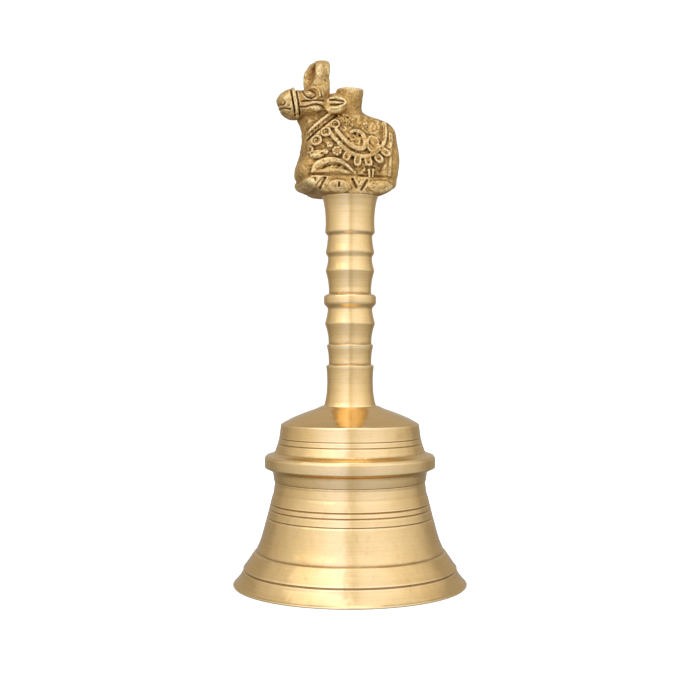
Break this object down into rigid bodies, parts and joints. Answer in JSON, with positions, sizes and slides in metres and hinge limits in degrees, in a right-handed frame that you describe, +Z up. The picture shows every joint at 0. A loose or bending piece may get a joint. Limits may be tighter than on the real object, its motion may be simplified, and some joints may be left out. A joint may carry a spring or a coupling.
{
  "type": "hand bell",
  "caption": "Turned brass prayer hand bell with a beaded handle, a seated bull on a lotus pedestal as the finial, and a swinging ball clapper.",
  "frame": {"origin": "centre of the mouth, on the plane of the rim that the bell stands on", "axes": "+Z up along the axis of the bell and handle; the bull faces -X and its sides face +Y and -Y"},
  "size_m": [0.0776, 0.0776, 0.1721],
  "materials": {
    "bell_brass": "turned and polished, fine lathe lines",
    "handle_brass": "turned and polished, fine lathe lines",
    "antique_brass": "rough sand casting, antiqued dark in the hollows and rubbed bright on the high points",
    "clapper_brass": "as cast, lightly tumbled",
    "steel": "dull plated steel wire and fasteners"
  },
  "bodies": {
    "bell": {"bell_shell": "bell_brass", "handle_stem": "handle_brass", "nandi_figure": "antique_brass", "figure_stud": "steel", "crown_eye_bolt": "steel", "crown_washer": "steel", "crown_nut": "steel"},
    "stirrup": {"clapper_stirrup": "steel"},
    "clapper": {"clapper_rod": "clapper_brass", "clapper_ball": "clapper_brass"}
  },
  "joints": [
    {"name": "clapper_swing", "type": "hinge", "parent": "bell", "child": "stirrup", "pos_m": [0, 0, 0.0412], "axis": [1, 0, 0], "range_deg": [-35, 35]},
    {"name": "clapper_rock", "type": "hinge", "parent": "stirrup", "child": "clapper", "pos_m": [0, 0, 0.0355], "axis": [0, 1, 0], "range_deg": [-12, 12]}
  ]
}
